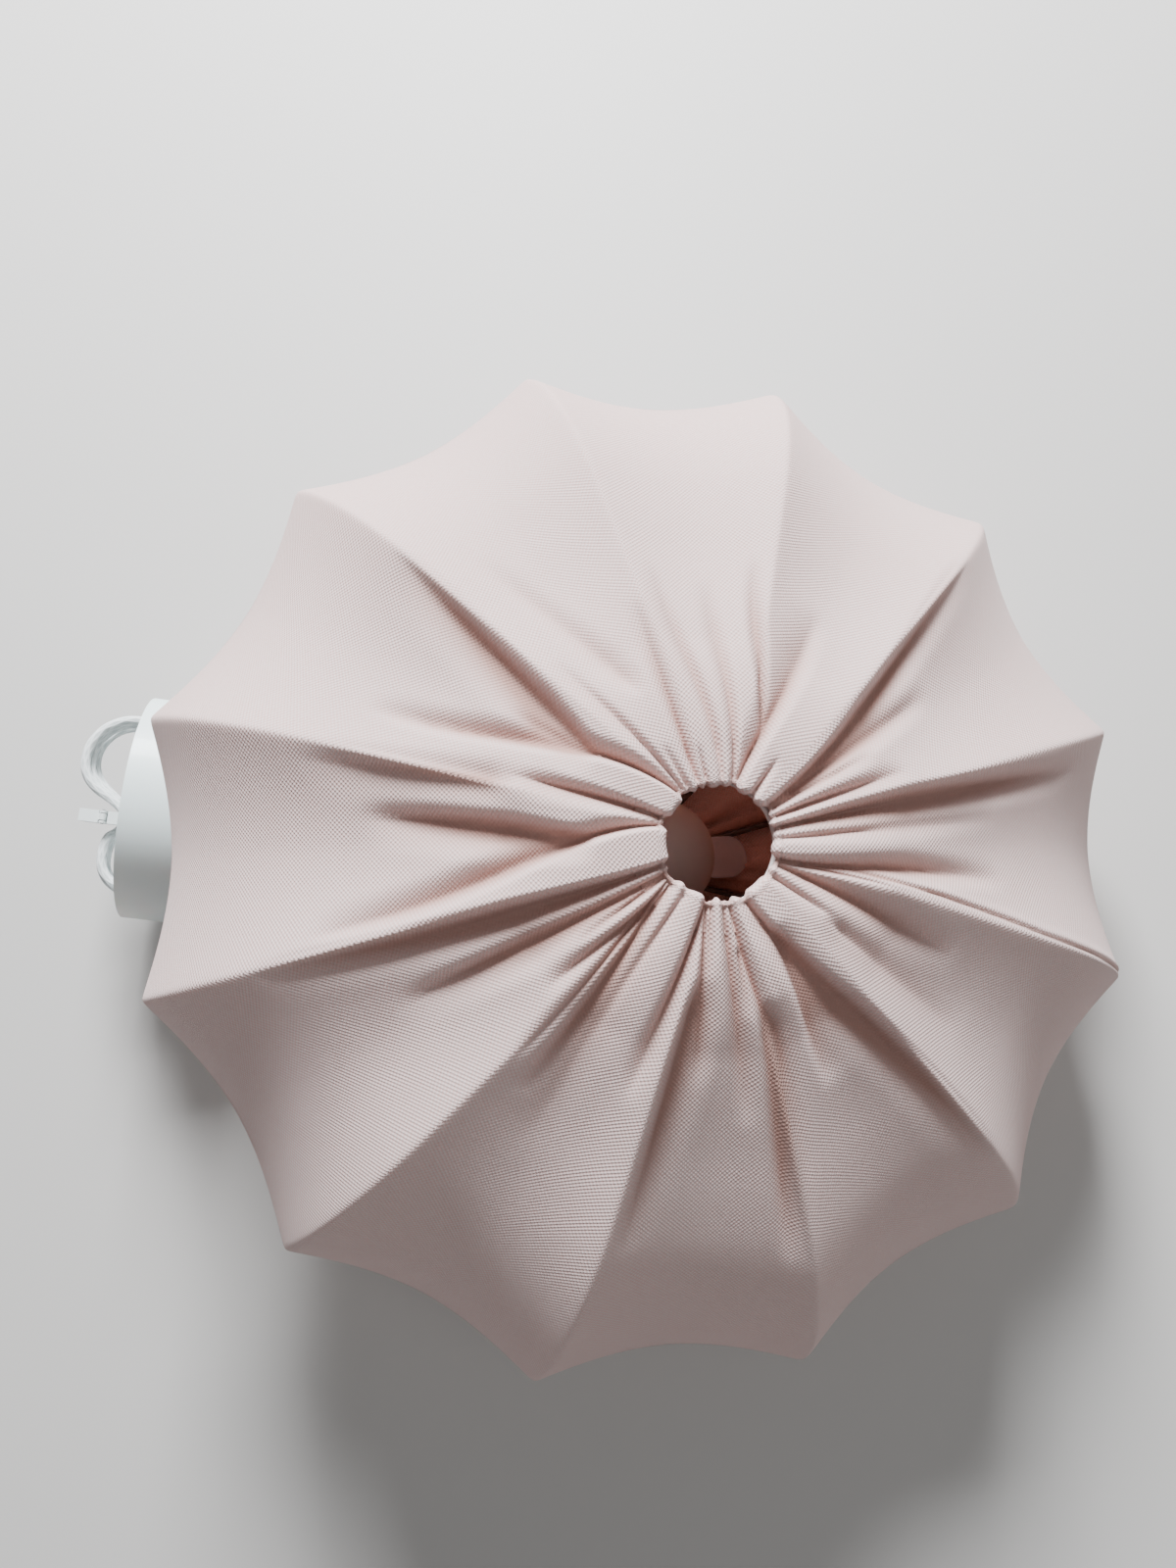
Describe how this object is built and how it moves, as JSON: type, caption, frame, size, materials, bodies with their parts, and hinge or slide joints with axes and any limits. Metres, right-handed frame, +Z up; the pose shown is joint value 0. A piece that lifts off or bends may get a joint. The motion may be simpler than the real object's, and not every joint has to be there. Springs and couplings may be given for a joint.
{
  "type": "pendant lamp shade",
  "caption": "Round pendant shade of stretch fabric gathered over a ribbed wire frame, with lamp holder, bulb, textile cord and ceiling cup.",
  "frame": {"origin": "on the floor, straight below the centre of the leaning shade (bottom centre of the box without the cord pieces)", "axes": "+Z up; +X towards the low side of the shade, away from the ceiling cup; +Y across"},
  "size_m": [0.5947, 0.52, 0.2423],
  "materials": {
    "frame_wire": "satin black powder coat",
    "shade_fabric": "pale dusty pink stretch canvas weave",
    "elastic": "soft white knitted elastic",
    "label_fabric": "white woven tape",
    "holder_plastic": "matt white",
    "insulator": "matt off-white",
    "contact_metal": "bright brass",
    "cap_metal": "bright rolled cap",
    "bulb_collar": "smooth matt white",
    "bulb_glass": "frosted, opal",
    "cup_plastic": "satin white",
    "cord_textile": "white braided textile",
    "tie_plastic": "matt white",
    "pin_metal": "bright steel"
  },
  "bodies": {
    "shade": {"bottom_elastic": "elastic", "bottom_ring": "frame_wire", "care_label": "label_fabric", "ceiling_cup": "cup_plastic", "centre_contact": "contact_metal", "clip_base": "tie_plastic", "clip_pin": "pin_metal", "contact_insert": "insulator", "cord": "cord_textile", "cord_bush": "holder_plastic", "cord_grip": "holder_plastic", "cord_hank": "cord_textile", "cord_tail": "cord_textile", "fabric_cover": "shade_fabric", "hank_tie": "tie_plastic", "holder_cap": "holder_plastic", "holder_carrier": "frame_wire", "holder_skirt": "holder_plastic", "rib_01": "frame_wire", "rib_02": "frame_wire", "rib_03": "frame_wire", "rib_04": "frame_wire", "rib_05": "frame_wire", "rib_06": "frame_wire", "rib_07": "frame_wire", "rib_08": "frame_wire", "rib_09": "frame_wire", "rib_10": "frame_wire", "rib_11": "frame_wire", "rib_12": "frame_wire", "screw_shell": "contact_metal", "terminal_block": "tie_plastic", "top_elastic": "elastic", "top_ring": "frame_wire"},
    "retaining_ring": {"retaining_ring": "holder_plastic"},
    "bush_nut": {"bush_nut": "holder_plastic"},
    "terminal_screw_1": {"terminal_screw_1": "pin_metal"},
    "terminal_screw_2": {"terminal_screw_2": "pin_metal"},
    "clip_arm": {"clip_arm": "tie_plastic"},
    "bulb": {"bulb_screw_cap": "cap_metal", "bulb_insulator": "insulator", "bulb_collar": "bulb_collar", "bulb_globe": "bulb_glass"}
  },
  "joints": [
    {"name": "bulb_unscrew", "type": "slide", "parent": "shade", "child": "bulb", "axis": [0.225, 0, 0.9744], "range_m": [0, 0.03]},
    {"name": "retaining_ring_turn", "type": "hinge", "parent": "shade", "child": "retaining_ring", "pos_m": [-0.01881, 0, 0.03968], "axis": [0.225, 0, 0.9744], "continuous": true},
    {"name": "bush_nut_turn", "type": "hinge", "parent": "shade", "child": "bush_nut", "pos_m": [-0.24517, -0.03097, 0.05973], "axis": [-0.9565, -0.1344, 0.2588], "continuous": true},
    {"name": "clip_open", "type": "hinge", "parent": "shade", "child": "clip_arm", "pos_m": [-0.30748, -0.04882, 0.0877], "axis": [-0.1392, 0.9903, 0], "range_deg": [0, 75]},
    {"name": "terminal_screw_1_turn", "type": "hinge", "parent": "shade", "child": "terminal_screw_1", "pos_m": [-0.26377, -0.02803, 0.08526], "axis": [-0.9565, -0.1344, 0.2588], "continuous": true},
    {"name": "terminal_screw_2_turn", "type": "hinge", "parent": "shade", "child": "terminal_screw_2", "pos_m": [-0.26224, -0.03893, 0.08526], "axis": [-0.9565, -0.1344, 0.2588], "continuous": true}
  ]
}
